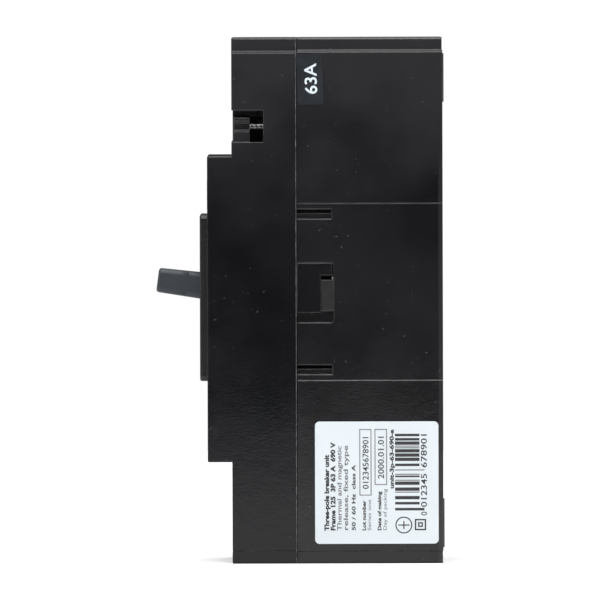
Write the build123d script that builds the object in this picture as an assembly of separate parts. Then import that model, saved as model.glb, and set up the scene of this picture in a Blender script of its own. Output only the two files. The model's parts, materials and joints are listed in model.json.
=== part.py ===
from build123d import *
import math
import os

os.makedirs("parts", exist_ok=True)

# Three-pole molded case circuit breaker, 75 x 130 x 60 mm frame size.
# X is across the poles, the front faces -Y, +Z points to the line terminals.
# The origin is the middle of the back mounting plane. Millimetres.

# --- case ---
HALF_HEIGHT = 65.0
HALF_WIDTH = 37.5
BAND_HALF_WIDTH = 36.8
MIDDLE_HALF_WIDTH = 37.2
PITCH = 25.0
POLES = {"left": -PITCH, "centre": 0.0, "right": PITCH}
BACK = -0.3
FLOOR = -3.3
SEAM = -36.35
FRONT = -52.45
DECK = -58.5
BEZEL = -60.4
INNER_HALF_WIDTH = 34.6
PHASE_IN = 11.6
PHASE_OUT = 13.4
CHAMBER_END = 45.5
END_WALL = 2.0
BAY_HALF_WIDTH = 9.5
SHELF = -22.5
DECK_TOP = 35.72
DECK_BOTTOM = -39.9
HOLE_X = 12.5
HOLE_Z = 55.5
HOLE_R = 2.25
TERMINAL_Z = 56.0

# --- axes of the moving pieces, as (y, z) ---
HANDLE_AXIS = (-28.0, -0.85)
CROSSBAR_AXIS = (-15.0, -10.0)
CRADLE_AXIS = (-38.0, 9.0)
LATCH_AXIS = (-37.5, -23.5)
TRIP_AXIS = (-33.0, -27.0)
ARMATURE_AXIS = (-12.5, -36.0)
HANDLE_REST = 7.5
OPEN_ANGLE = 35.0
CRADLE_ANGLE = 15.0
LATCH_ANGLE = 20.0
LINK_LENGTH = math.hypot(11.0, 1.0)
ANCHOR_R = 19.0

# --- cover screws and button ---
SCREW_X = 32.6
SCREW_TOP_Z = 43.0
SCREW_BOTTOM_Z = -43.4
SCREW_SEAT = -50.0
BUTTON_X = 18.0
BUTTON_Z = -31.5
STICKER_TILT = 2.2


def box(x0, x1, y0, y1, z0, z1):
    centre = Pos((x0 + x1) / 2, (y0 + y1) / 2, (z0 + z1) / 2)
    return centre * Box(abs(x1 - x0), abs(y1 - y0), abs(z1 - z0))


def rod_x(y, z, r, x0, x1):
    return Pos((x0 + x1) / 2, y, z) * Rot(0, 90, 0) * Cylinder(r, abs(x1 - x0))


def rod_y(x, z, r, y0, y1):
    return Pos(x, (y0 + y1) / 2, z) * Rot(90, 0, 0) * Cylinder(r, abs(y1 - y0))


def rod_z(x, y, r, z0, z1):
    return Pos(x, y, (z0 + z1) / 2) * Cylinder(r, abs(z1 - z0))


def sheet_x(points, x0, x1):
    """Polygon in (y, z) given a thickness along X."""
    face = make_face(Polyline(*points, close=True))
    return extrude(Plane.YZ.offset(x0) * face, amount=x1 - x0)


def block(half_x, z0, z1, y_back, y_front, r):
    """Block with its four corners rounded when seen from the front."""
    profile = Pos(0, (z0 + z1) / 2) * RectangleRounded(2 * half_x, z1 - z0, r)
    return extrude(Plane.XZ.offset(-y_back) * profile, amount=y_back - y_front)


def softened(solid, r):
    front = solid.faces().sort_by(Axis.Y)[0]
    return fillet(front.edges(), r)


def eased(solid, r):
    """Round the rim that meets the other half of the case at the seam."""
    rim = solid.faces().filter_by(Plane.XZ).filter_by_position(Axis.Y, SEAM, SEAM)
    return fillet(rim.edges(), r)


def side_slab(z0, z1, slope, y_back, y_front):
    """Full-width slab whose ends slope down to the narrower end bands."""
    outline = [(-BAND_HALF_WIDTH, z1), (BAND_HALF_WIDTH, z1), (HALF_WIDTH, z1 - slope),
               (HALF_WIDTH, z0 + 0.2), (BAND_HALF_WIDTH, z0), (-BAND_HALF_WIDTH, z0),
               (-HALF_WIDTH, z0 + 0.2), (-HALF_WIDTH, z1 - slope)]
    face = make_face(Polyline(*outline, close=True))
    return extrude(Plane.XZ.offset(-y_back) * face, amount=y_back - y_front)


def mirrored(shapes):
    return list(shapes) + [mirror(s, Plane.YZ) for s in shapes]


def fused(shapes):
    shapes = list(shapes)
    return shapes[0] + shapes[1:]


def turned(shape, angle, axis):
    """Turn by a right-hand angle about a line along +X through (y, z)."""
    return shape.rotate(Axis((0, axis[0], axis[1]), (1, 0, 0)), angle)


def turned_point(point, angle, axis):
    a = math.radians(angle)
    y = point[0] - axis[0]
    z = point[1] - axis[1]
    return (axis[0] + y * math.cos(a) - z * math.sin(a),
            axis[1] + y * math.sin(a) + z * math.cos(a))


def bar_between(p, q, half, x0, x1):
    """Straight strip with round ends between two (y, z) points."""
    length = math.hypot(q[0] - p[0], q[1] - p[1])
    angle = math.degrees(math.atan2(q[1] - p[1], q[0] - p[0]))
    face = Rot(0, 0, angle) * SlotCenterToCenter(length, 2 * half)
    face = Pos((p[0] + q[0]) / 2, (p[1] + q[1]) / 2) * face
    return extrude(Plane.YZ.offset(x0) * face, amount=x1 - x0)


def coil(p, q, radius, wire, turns):
    """Round-wire helix from point p to point q."""
    axis = Vector(*q) - Vector(*p)
    path = Helix(pitch=axis.length / turns, height=axis.length, radius=radius,
                 center=p, direction=tuple(axis))
    section = Plane(origin=path @ 0, z_dir=path % 0) * Circle(wire)
    return sweep(section, path=path, is_frenet=True)


def save(name, *shapes):
    solids = []
    for shape in shapes:
        solids += shape.solids()
    export_step(Compound(solids), f"parts/{name}.step")


# --- base ---

def chambers(y_back, y_front, z0, z1):
    centre = box(-PHASE_IN, PHASE_IN, y_back, y_front, z0, z1)
    side = box(PHASE_OUT, INNER_HALF_WIDTH, y_back, y_front, z0, z1)
    return [centre] + mirrored([side])


def bays(y_back, y_front):
    cuts = []
    for x in POLES.values():
        for z0, z1 in ((CHAMBER_END + END_WALL, 66), (-66, -CHAMBER_END - END_WALL)):
            cuts.append(box(x - BAY_HALF_WIDTH, x + BAY_HALF_WIDTH, y_back, y_front, z0, z1))
    return cuts


def barrier_slots(y_back, y_front):
    cuts = [box(HOLE_X - 0.65, HOLE_X + 0.65, y_back, y_front, z0, z1)
            for z0, z1 in ((61, 66), (-66, -61))]
    return mirrored(cuts)


def mounting_points():
    return [(sx * HOLE_X, sz * HOLE_Z) for sx in (1, -1) for sz in (1, -1)]


def side_pockets():
    """Shallow latch windows on the case sides, open to the seam."""
    window = box(35.5, 38, SEAM - 1, -27.25, -5.5, 9.35)
    window = fillet(window.edges().filter_by(Axis.X).sort_by(Axis.Y)[-2:], 0.8)
    window -= latch_ramp()
    upper = box(36.0, 38, SEAM - 1, -27.75, 20.1, 22.6)
    lower = box(36.2, 38, SEAM - 1, -27.55, -18.3, -15.9)
    deep = [undercut(35.5, 34.95, 5.1, 6.25, -30.4, -27.25),
            undercut(36.0, 35.0, 21.5, 22.6, SEAM - 1, -27.85),
            undercut(36.2, 35.2, -16.9, -15.9, SEAM - 1, -27.65)]
    return mirrored([window, upper, lower] + deep)


def undercut(x_floor, x_deep, z0, z1, y0, y1):
    """Wedge that deepens a pocket towards its upper end, where the hook catches."""
    face = make_face(Polyline((x_floor + 0.1, z0), (x_floor, z0), (x_deep, z1),
                              (x_floor + 0.1, z1), close=True))
    return extrude(Plane.XZ.offset(-y1) * face, amount=y1 - y0)


def latch_ramp():
    """Sloping floor beside the cover's hook, deeper at its lower end."""
    face = make_face(Polyline((35.0, -2.5), (36.72, -2.5), (36.85, 5.1), (35.0, 5.1), close=True))
    return extrude(Plane.XZ.offset(27.25) * face, amount=3.15)


def base_outside():
    outer = eased(block(BAND_HALF_WIDTH, -HALF_HEIGHT, HALF_HEIGHT, BACK - 0.15, SEAM, 0.6), 0.18)
    middle = box(-MIDDLE_HALF_WIDTH, MIDDLE_HALF_WIDTH, BACK, SEAM, -21, 25)
    window_zone = box(-40, 40, BACK + 1, SEAM - 1, -19.75, 23.95)
    slab = eased(side_slab(-62.0, 61.85, 0.5, BACK, SEAM), 0.18) - window_zone
    outer += [slab, eased(middle, 0.18)]
    pads = [box(31.9, 37.2, 0, BACK - 0.5, z0, z0 + 12) for z0 in (49.0, -61.0)]
    pads += [rod_y(HOLE_X, z, 4.4, 0, BACK - 0.5) for z in (HOLE_Z, -HOLE_Z)]
    return outer + mirrored(pads)


def shelf_pockets():
    cuts = []
    for x in POLES.values():
        for sign in (1, -1):
            z = sign * TERMINAL_Z
            cuts.append(box(x - 6.5, x + 6.5, 1, -12, z - 6, z + 6))
            hexagon = Pos(x, z) * RegularPolygon(6.65, 6, major_radius=False)
            cuts.append(extrude(Plane.XZ.offset(16.4) * hexagon, amount=6.2))
            cuts.append(rod_y(x, z, 4.35, -13.8, -23))
    return cuts


def wall_openings():
    """Strap slots and arc vents through the end walls of the chambers."""
    cuts = []
    for x in POLES.values():
        for z0, z1 in ((45, 48), (-48, -45)):
            cuts.append(box(x - 4.7, x + 4.7, -25.8, -22.2, z0, z1))
        cuts += [box(x + dx - 1.1, x + dx + 1.1, -33.5, -28.5, 45, 48) for dx in (-4, 0, 4)]
    return cuts


def bar_slots():
    y, z = CROSSBAR_AXIS
    shaft = rod_x(y, z, 5.08, -14, 14) + box(-14, 14, y, SEAM - 1, z - 5.08, z + 5.08)
    y, z = TRIP_AXIS
    trip = rod_x(y, z, 2.28, -14, 14) + box(-14, 14, y, SEAM - 1, z - 2.28, z + 2.28)
    return [shaft, trip]


def base_supports():
    ribs = []
    for x in POLES.values():
        ribs.append(box(x - 5, x + 5, FLOOR + 0.1, -5.5, 14, 35))
        ribs.append(box(x - 5, x + 5, FLOOR + 0.1, -5.5, -38, -27))
    feet = [box(5.2, 9.6, FLOOR + 0.1, -7, 3, 11), box(5.2, 9.6, FLOOR + 0.1, -7, -24, -18)]
    posts = [rod_y(SCREW_X, SCREW_TOP_Z, 2.3, FLOOR, SEAM),
             rod_y(SCREW_X, SCREW_BOTTOM_Z, 2.3, FLOOR, SEAM)]
    bosses = [rod_y(HOLE_X, z, 4.4, -5, SEAM) for z in (HOLE_Z, -HOLE_Z)]
    return ribs + mirrored(feet + posts + bosses)


def base_holes():
    cuts = []
    for x, z in mounting_points():
        cuts.append(rod_y(x, z, HOLE_R, 1, -25))
        cuts.append(rod_y(x, z, 3.6, SHELF, -60))
    for x in (SCREW_X, -SCREW_X):
        cuts += [rod_y(x, z, 1.3, -26, SEAM - 1) for z in (SCREW_TOP_Z, SCREW_BOTTOM_Z)]
    for x in (7.2, -7.2):
        for z in (7, -21):
            cuts += [rod_y(x, z, 1.6, 1, -8), rod_y(x, z, 3.0, 1, -2.4)]
    return cuts


def make_base():
    hollow = chambers(FLOOR, SEAM - 1, -CHAMBER_END, CHAMBER_END)
    base = base_outside() - (hollow + bays(SHELF, SEAM - 1))
    base = base + base_supports()
    cuts = base_holes() + shelf_pockets() + wall_openings() + bar_slots()
    return base - (cuts + barrier_slots(-20, SEAM - 1) + side_pockets())


# --- cover ---

def cover_outside():
    ends = softened(block(BAND_HALF_WIDTH, -HALF_HEIGHT, HALF_HEIGHT, SEAM, FRONT, 0.6), 0.4)
    sides = softened(side_slab(-61.9, 61.6, 0.5, SEAM, FRONT), 0.35)
    deck = softened(block(HALF_WIDTH, DECK_BOTTOM, DECK_TOP, SEAM - 1, DECK, 0.4), 0.39)
    return eased(ends, 0.18) + [eased(sides, 0.18), deck]


def cover_hollows():
    cuts = chambers(SEAM + 1, -42, -CHAMBER_END, CHAMBER_END)
    cuts += chambers(SEAM, -49.7, 33.5, CHAMBER_END)
    cuts += chambers(SEAM, -49.7, -CHAMBER_END, -37.6)
    cuts.append(box(-PHASE_IN, PHASE_IN, SEAM, -60, -33.5, 29.5))
    pocket = box(14.6, 32.0, -44, -60, -35.2, 29.5)
    recess = box(-33.6, 33.6, -56.3, -60, -36.1, 32.1)
    return cuts + mirrored([pocket]) + [recess]


def screw_notches():
    """Corner pockets at the top, open to the side, where the screws show."""
    notch = box(29.6, 38, FRONT - 1, -44.6, 39.15, 47.0)
    shallow = box(-38, 38, FRONT - 1, FRONT + 0.3, 39.15, 47.0)
    return mirrored([notch]) + [shallow]


def screw_bridges():
    bridge = box(29.4, 36.8, -51.9, -47.9, 39.0, 45.2)
    trough = box(35.15, 38, -52.4, -47.9, 41.8, 44.25)
    trough = fillet(trough.edges().filter_by(Axis.Y).sort_by(Axis.X)[:2], 0.5)
    floor = box(29.4, 37.0, -44.6, -41.5, 39.2, 47.0)
    post = rod_y(SCREW_X, SCREW_BOTTOM_Z, 3.6, SEAM, FRONT + 0.5)
    sleeve = rod_y(SCREW_X, SCREW_TOP_Z, 2.4, SEAM, -42)
    return mirrored([bridge - trough, floor, post, sleeve])


def cover_screw_holes():
    cuts = []
    for z in (SCREW_TOP_Z, SCREW_BOTTOM_Z):
        cuts.append(rod_y(SCREW_X, z, 2.4, SCREW_SEAT, -60))
        cuts.append(rod_y(SCREW_X, z, 1.6, -30, -60))
    return mirrored(cuts)


def cover_posts():
    posts = [rod_y(30.0, z, 2.5, -43, -56.3) for z in (27.4, -32.0)]
    return mirrored(posts)


def cover_tongues():
    hook = box(35.95, 37.2, SEAM - 1, -30.5, -3.0, 9.25)
    arm = box(35.95, 37.2, -31, -27.7, 6.25, 9.25)
    y, z = CROSSBAR_AXIS
    filler = box(11.7, 13.3, SEAM - 1, y - 5.3, z - 4.9, z + 4.9)
    y, z = TRIP_AXIS
    nib = box(11.7, 13.3, SEAM - 1, y - 2.3, z - 1.6, z + 1.6)
    return mirrored([hook + arm, filler, nib])


def make_cover():
    cover = cover_outside() - (cover_hollows() + bays(SEAM + 1, -60))
    bosses = [rod_y(HOLE_X, z, 4.4, SEAM, FRONT + 0.4) for z in (HOLE_Z, -HOLE_Z)]
    cover = cover + mirrored(bosses)
    cover = cover - screw_notches()
    cover = cover + screw_bridges() + cover_posts() + cover_tongues()
    holes = [rod_y(x, z, 3.6, SEAM + 1, -60) for x, z in mounting_points()]
    holes += [rod_y(x, z, 0.95, -46, -57) for x in (30, -30) for z in (27.4, -32.0)]
    holes.append(rod_y(BUTTON_X, BUTTON_Z, 1.38, -40, -46))
    vents = [box(x + dx - 1.1, x + dx + 1.1, -46, -39, 45, 48)
             for x in POLES.values() for dx in (-4, 0, 4)]
    return cover - (cover_screw_holes() + holes + vents + barrier_slots(SEAM + 1, -60))


def make_accessory_cover():
    plate = softened(block(33.5, -36.0, 32.0, -56.4, DECK, 0.6), 0.3)
    bezel = softened(block(22.0, -20.1, 21.1, -57.5, BEZEL, 1.2), 0.5)
    slot = box(-7.3, 7.3, -50, -62, -17.4, 16.4)
    slot = fillet(slot.edges().filter_by(Axis.Y), 1.0)
    y, z = HANDLE_AXIS
    relief = rod_x(y, z, 29.6, -9.6, 9.6)
    cuts = [slot, relief, rod_y(BUTTON_X, BUTTON_Z, 2.1, -50, -62)]
    for x in (30, -30):
        for hole_z in (27.4, -32.0):
            cuts += [rod_y(x, hole_z, 1.15, -50, -62), rod_y(x, hole_z, 2.3, -57.2, -62)]
    return (plate + bezel) - cuts


def make_cover_screw(x, z):
    head = rod_y(x, z, 2.3, SCREW_SEAT, SCREW_SEAT - 1.5)
    head = fillet(head.faces().sort_by(Axis.Y)[0].edges(), 0.5)
    cross = [box(x - 1.3, x + 1.3, -50.6, -53, z - 0.3, z + 0.3),
             box(x - 0.3, x + 0.3, -50.6, -53, z - 1.3, z + 1.3)]
    shank = rod_y(x, z, 1.22, -29.5, SCREW_SEAT)
    tip = Pos(x, -28.75, z) * Rot(-90, 0, 0) * Cone(1.22, 0.4, 1.5)
    return (head - cross) + [shank, tip]


def make_small_screw(x, z):
    head = rod_y(x, z, 2.0, -57.2, -58.3)
    slot = box(x - 2.2, x + 2.2, -57.8, -59, z - 0.25, z + 0.25)
    return (head - slot) + rod_y(x, z, 0.9, -47, -57.2)


# --- handle ---

def handle_pose(shape):
    return turned(shape, -HANDLE_REST, HANDLE_AXIS)


def shell_sector(r0, r1, half_angle, half_x):
    """Part of a tube about the handle axis, centred on the -Y direction."""
    y, z = HANDLE_AXIS
    ring = rod_x(y, z, r1, -half_x, half_x) - rod_x(y, z, r0, -half_x - 1, half_x + 1)
    a = math.radians(half_angle)
    far = 60.0
    wedge = sheet_x([(y, z), (y - far * math.cos(a), z + far * math.sin(a)),
                     (y - far, z + far * math.sin(a)), (y - far, z - far * math.sin(a)),
                     (y - far * math.cos(a), z - far * math.sin(a))], -half_x - 1, half_x + 1)
    return ring & wedge


def make_handle():
    y, z = HANDLE_AXIS
    grip = loft([Plane(origin=(0, y - r, z), x_dir=(1, 0, 0), z_dir=(0, -1, 0))
                 * RectangleRounded(2 * w, 2 * t, 1.3)
                 for r, w, t in ((28.2, 6.7, 3.37), (43.3, 6.3, 2.97))])
    grip = fillet(grip.faces().sort_by(Axis.Y)[0].edges(), 0.7)
    skirt = shell_sector(28.0, 29.2, 52, 9.0)
    root = box(-6.2, 6.2, y - 22.05, y - 28.3, z - 3.0, z + 3.0)
    root = root - rod_x(y, z, 22.05, -7, 7)
    return handle_pose(skirt + [grip, root])


def make_handle_yoke():
    y, z = HANDLE_AXIS
    bridge = shell_sector(20.5, 22.0, 7, 11.0)
    leg = bar_between((y, z), (y - 19.5, z), 2.6, 9.8, 11.0)
    stud = rod_x(y, z, 1.2, 8.1, 10.0)
    lug = box(5.7, 6.7, y - ANCHOR_R + 1.0, y - 20.9, z - 1.2, z + 1.2)
    anchor = rod_x(y - ANCHOR_R, z, 0.7, -6.0, 6.0)
    return handle_pose(bridge + mirrored([leg, stud, lug]) + [anchor])


# --- operating mechanism ---

CRADLE_HOLE = (-40.0, -4.0)
CRADLE_KNEE = (-36.5, -12.0)
CRADLE_NOSE = (-41.5, -16.0)
DRIVE_CLOSED = (-18.0, -2.0)


def rest_points():
    """Pivots of the toggle with the contacts open: drive, cradle end, knee."""
    drive = turned_point(DRIVE_CLOSED, OPEN_ANGLE, CROSSBAR_AXIS)
    upper = turned_point(CRADLE_HOLE, -CRADLE_ANGLE, CRADLE_AXIS)
    dy = upper[0] - drive[0]
    dz = upper[1] - drive[1]
    half = math.hypot(dy, dz) / 2
    rise = math.sqrt(LINK_LENGTH ** 2 - half ** 2)
    knee = ((drive[0] + upper[0]) / 2 + dz / (2 * half) * rise,
            (drive[1] + upper[1]) / 2 - dy / (2 * half) * rise)
    return drive, upper, knee


def make_cradle():
    parts = [rod_x(*CRADLE_AXIS, 3.0, -1, 1), rod_x(*CRADLE_HOLE, 2.2, -1, 1),
             bar_between(CRADLE_AXIS, CRADLE_HOLE, 2.0, -1, 1),
             bar_between(CRADLE_HOLE, CRADLE_KNEE, 1.6, -1, 1),
             bar_between(CRADLE_KNEE, CRADLE_NOSE, 1.15, -1, 1)]
    holes = [rod_x(*CRADLE_AXIS, 1.06, -2, 2), rod_x(*CRADLE_HOLE, 1.0, -2, 2)]
    cradle = fused(parts) - holes
    return turned(cradle, -CRADLE_ANGLE, CRADLE_AXIS)


def make_latch():
    y, z = LATCH_AXIS
    parts = [rod_x(y, z, 2.2, -3, 3),
             bar_between((y, z), (-43.3, -18.2), 0.9, -3, 3),
             box(-3, 3, -44.2, -42.9, -18.6, -16.55),
             bar_between((y, z), (y + 1.6, z - 2.7), 0.6, -2.6, 2.6)]
    latch = fused(parts) - rod_x(y, z, 1.06, -4, 4)
    return turned(latch, LATCH_ANGLE, LATCH_AXIS)


def make_upper_links():
    drive, upper, knee = rest_points()
    link = bar_between(knee, upper, 2.0, 5.2, 6.2)
    link = link + [rod_x(*knee, 3.4, 5.2, 6.2), rod_x(*upper, 2.3, 5.2, 6.2)]
    link = link - [rod_x(*knee, 2.35, 5, 7), rod_x(*upper, 1.06, 5, 7)]
    return mirrored([link])


def make_lower_links():
    drive, upper, knee = rest_points()
    link = bar_between(knee, drive, 2.2, 6.5, 7.5)
    link = link - [rod_x(*knee, 1.0, 6, 8), rod_x(*drive, 1.26, 6, 8)]
    return mirrored([link])


def make_main_springs():
    drive, upper, knee = rest_points()
    y, z = HANDLE_AXIS
    anchor = turned_point((y - ANCHOR_R, z), -HANDLE_REST, HANDLE_AXIS)
    return [hooked_spring(sx * 3.5, knee, 1.4, anchor, 1.1) for sx in (1, -1)]


def hooked_spring(x, p, ring_p, q, ring_q):
    """Tension spring with a closed eye round a pin at each end."""
    length = math.hypot(q[0] - p[0], q[1] - p[1])
    uy = (q[0] - p[0]) / length
    uz = (q[1] - p[1]) / length
    a = (x, p[0] + uy * 2.6, p[1] + uz * 2.6)
    b = (x, q[0] - uy * 2.3, q[1] - uz * 2.3)
    body = coil(a, b, 0.95, 0.27, 11)
    eyes = []
    for (ey, ez), ring, end, sign in ((p, ring_p, a, 1), (q, ring_q, b, -1)):
        eyes.append(Pos(x, ey, ez) * Rot(0, 90, 0) * Torus(ring, 0.27))
        start = (x, ey + sign * uy * ring, ez + sign * uz * ring)
        stem = Edge.make_line(start, end)
        eyes.append(sweep(Plane(origin=start, z_dir=stem % 0) * Circle(0.27), path=stem))
    axis = Vector(*b) - Vector(*a)
    helix = Helix(pitch=axis.length / 11, height=axis.length, radius=0.95,
                  center=a, direction=tuple(axis))
    for point, param in ((a, 0), (b, 1)):
        line = Edge.make_line(point, tuple(helix @ param))
        eyes.append(sweep(Plane(origin=point, z_dir=line % 0) * Circle(0.27), path=line))
    return body + eyes


def make_frame():
    outline = [(-7, 11.5), (-18, 13.5), (-36, 13.5), (-41.5, 10.5), (-41.5, -19.5),
               (-40.2, -25.2), (-36.3, -26.0), (-34.6, -23.4), (-30, -21.8), (-24, -21.0),
               (-18, -24.0), (-7, -24.0), (-7, -15.7), (-7, -4.3)]
    plate = sheet_x(outline, 8.0, 9.4)
    y, z = CROSSBAR_AXIS
    cuts = [rod_x(y, z, 5.5, 7, 10), box(7, 10, y, -6, z - 5.5, z + 5.5),
            rod_x(*HANDLE_AXIS, 1.27, 7, 10), rod_x(*CRADLE_AXIS, 1.0, 7, 10),
            rod_x(*LATCH_AXIS, 1.0, 7, 10), rod_x(-30, -18.5, 1.0, 7, 10),
            rod_x(-21.0, 7.0, 3.0, 7, 10), rod_x(-37.0, -6.0, 2.4, 7, 10)]
    feet = [box(5.2, 9.4, -7, -8.5, 3, 11), box(5.2, 9.4, -7, -8.5, -24, -18)]
    frame = (plate - cuts) + feet
    return frame - [rod_y(7.2, z, 1.25, -6, -10) for z in (7, -21)]


def make_frame_screw(x, z):
    head = rod_y(x, z, 2.8, -0.6, -2.4)
    recess = extrude(Plane.XZ.offset(-1) * Pos(x, z) * RegularPolygon(1.2, 6), amount=2.6)
    return (head - recess) + rod_y(x, z, 1.25, -2.4, -10)


# --- moving contacts ---

def make_arm(x):
    y, z = CROSSBAR_AXIS
    parts = [rod_x(y, z, 3.5, x - 4, x + 4), box(x - 4, x + 4, y - 1, y + 2.5, z, z + 31)]
    arm = fused(parts)
    arm = fillet(arm.edges().filter_by(Axis.Y).sort_by(Axis.Z)[-2:], 1.0)
    arm = arm - rod_x(y, z, 1.5, x - 5, x + 5)
    return turned(arm, OPEN_ANGLE, CROSSBAR_AXIS)


def make_moving_tip(x):
    y, z = CROSSBAR_AXIS
    tip = box(x - 3.5, x + 3.5, y + 2.5, y + 4.45, z + 24.5, z + 30.5)
    tip = fillet(tip.faces().sort_by(Axis.Y)[-1].edges(), 0.5)
    return turned(tip, OPEN_ANGLE, CROSSBAR_AXIS)


def cheek(x):
    y, z = CROSSBAR_AXIS
    drive_y, drive_z = DRIVE_CLOSED
    side = rod_x(y, z, 7.5, x + 4.3, x + 6.3)
    side += [box(x + 4.3, x + 6.3, y - 7.5, y - 0.5, z, z + 8.5),
             rod_x(drive_y, drive_z, 2.8, x + 4.3, x + 6.3)]
    return side - rod_x(y, z, 1.5, x + 3, x + 7)


def make_crossbar():
    y, z = CROSSBAR_AXIS
    solids = []
    for x in POLES.values():
        right = cheek(0)
        solids += [Pos(x, 0, 0) * right, Pos(x, 0, 0) * mirror(right, Plane.YZ)]
        web = rod_x(y, z, 7.5, x - 4.5, x + 4.5) & box(x - 5, x + 5, y - 8, y + 8, z - 8, z - 4.3)
        solids += [web, box(x - 4.5, x + 4.5, y - 7.5, y - 5.3, z + 3, z + 8.5)]
    for x0, x1 in ((-33, -31.2), (-18.8, -6.2), (6.2, 18.8), (31.2, 33)):
        solids.append(rod_x(y, z, 5.0, x0, x1))
    bar = fused(solids)
    bar = bar - mirrored([rod_x(*DRIVE_CLOSED, 1.2, 4, 7)])
    bar = bar - [rod_x(y, z, 1.5, x - 6.3, x + 6.3) for x in POLES.values()]
    return turned(bar, OPEN_ANGLE, CROSSBAR_AXIS)


def make_contact_spring(x):
    y, z = CROSSBAR_AXIS
    spring = coil((x, y - 5.0, z + 5.75), (x, y - 1.3, z + 5.75), 1.4, 0.28, 4)
    return turned(spring, OPEN_ANGLE, CROSSBAR_AXIS)


def make_braid(x):
    path = [(-9.1, -23.4), (-9.1, -16.8), (-6.4, -13.8), (-6.2, -10.0), (-9.4, -5.6)]
    line = FilletPolyline(*path, radius=1.6)
    strip = extrude(Plane.YZ.offset(x - 3) * trace(line, line_width=1.1), amount=6)
    end = turned_point((-15.0 + 3.05, -10.0 + 3.2), OPEN_ANGLE, CROSSBAR_AXIS)
    tail = bar_between((-9.3, -5.75), end, 0.55, x - 3, x + 3)
    return strip + tail


# --- current path ---

def make_line_terminal(x):
    parts = [box(x - 7, x + 7, -25.5, SHELF, 48.0, 64.0),
             box(x - 4.4, x + 4.4, -25.5, SHELF, 38.0, 48.5),
             box(x - 7, x + 7, -25.5, -5.5, 37.5, 40.5),
             box(x - 7, x + 7, -8.5, -5.5, 12.5, 40.0)]
    strap = fused(parts)
    strap = fillet(strap.edges().filter_by(Axis.Y).sort_by(Axis.Z)[-2:], 1.5)
    return strap - rod_y(x, TERMINAL_Z, 4.4, -20, -30)


def make_load_terminal(x):
    parts = [box(x - 7, x + 7, -25.5, SHELF, -64.0, -48.0),
             box(x - 4.4, x + 4.4, -25.5, SHELF, -48.5, -38.0),
             box(x - 7, x + 7, -25.5, -5.5, -40.5, -37.5),
             box(x - 7, x + 7, -8.5, -5.5, -40.0, -25.2),
             box(x - 4.4, x + 4.4, -8.5, -5.5, -26.0, -18.0)]
    strap = fused(parts)
    strap = fillet(strap.edges().filter_by(Axis.Y).sort_by(Axis.Z)[:2], 1.5)
    return strap - rod_y(x, -TERMINAL_Z, 4.4, -20, -30)


def make_bimetal(x):
    blade = box(x - 4, x + 4, -9.0, -31.5, -33.5, -32.5) + box(x - 4, x + 4, -8.5, -9.5, -37.0, -32.5)
    blade = fillet(blade.edges().filter_by(Axis.Z).sort_by(Axis.Y)[:2], 1.0)
    return blade - rod_z(x, -29.8, 0.9, -34, -32)


def make_calibration_screw(x):
    screw = rod_z(x, -29.8, 0.9, -35.6, -30.3)
    head = rod_z(x, -29.8, 1.7, -35.6, -34.6)
    return screw + head - box(x - 2, x + 2, -30.0, -29.6, -36, -35.2)


def make_magnet_yoke(x):
    leg = box(5.0, 6.2, -24, -14.6, -34.5, -29.5)
    ear = box(5.0, 6.2, -15.2, -10.4, -37.3, -29.5)
    sides = mirrored([leg + ear])
    web = box(-6.2, 6.2, -24, -10.4, -30.5, -29.3)
    foot = box(-4.8, 4.8, -12.0, -8.5, -30.5, -29.3) + box(-4.8, 4.8, -9.7, -8.5, -30.5, -26.2)
    yoke = web + sides + [foot]
    return Pos(x, 0, 0) * (yoke - rod_x(*ARMATURE_AXIS, 0.87, -8, 8))


def make_armature(x):
    y, z = ARMATURE_AXIS
    plate = box(-6.2, 6.2, -24, -15.6, z - 0.4, z + 0.4)
    plate += box(-4.6, 4.6, -16, y - 0.2, z - 0.4, z + 0.4)
    plate -= box(-4.4, -1.7, y - 1.8, y, z - 1, z + 1)
    pin = rod_x(y, z, 0.8, -6.5, 6.5)
    finger = box(5.0, 6.2, -31.0, -23.5, z - 0.4, z + 0.4)
    finger += box(5.0, 6.2, -31.0, -30.0, z - 0.4, -29.7)
    return Pos(x, 0, 0) * (plate + [pin, finger])


def make_armature_spring(x):
    """Fine torsion coil on the armature pin, one leg against the plate."""
    y, z = ARMATURE_AXIS
    return coil((x - 4.1, y, z), (x - 2.0, y, z), 1.25, 0.13, 4)


def make_arc_plates(x):
    plates = []
    for k in range(9):
        y = -12.6 - 2.6 * k
        plate = box(-8.5, 8.5, y - 0.6, y + 0.6, 16.0, 36.5)
        tabs = [box(sx * 8.4, sx * 9.3, y - 0.6, y + 0.6, z, z + 3.5)
                for sx in (1, -1) for z in (18.5, 30.5)]
        notch = box(-5, 5, y - 1, y + 1, 15, 22) + rod_y(0, 22, 5, y - 1, y + 1)
        plates.append(Pos(x, 0, 0) * (plate + tabs - notch))
    return plates


def make_arc_walls(x):
    wall = box(8.6, 9.4, FLOOR, -35.6, 16.5, 36.0)
    slots = [box(8, 10, -12.6 - 2.6 * k - 0.62, -12.6 - 2.6 * k + 0.62, z - 0.05, z + 3.55)
             for k in range(9) for z in (18.5, 30.5)]
    wall = wall - slots
    return [Pos(x, 0, 0) * w for w in mirrored([wall])]


# --- terminals ---

def make_terminal_screw(x, z):
    head = rod_y(x, z, 6.3, -29.2, -35.0)
    head = fillet(head.faces().sort_by(Axis.Y)[0].edges(), 0.7)
    socket = extrude(Plane.XZ.offset(31.6) * Pos(x, z) * RegularPolygon(3.0, 6, major_radius=False),
                     amount=5)
    shank = rod_y(x, z, 3.95, -29.2, -14.6)
    return (head - socket) + shank


def make_washer(x, z):
    return rod_y(x, z, 7.4, -25.5, -27.1) - rod_y(x, z, 4.3, -25, -28)


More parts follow.
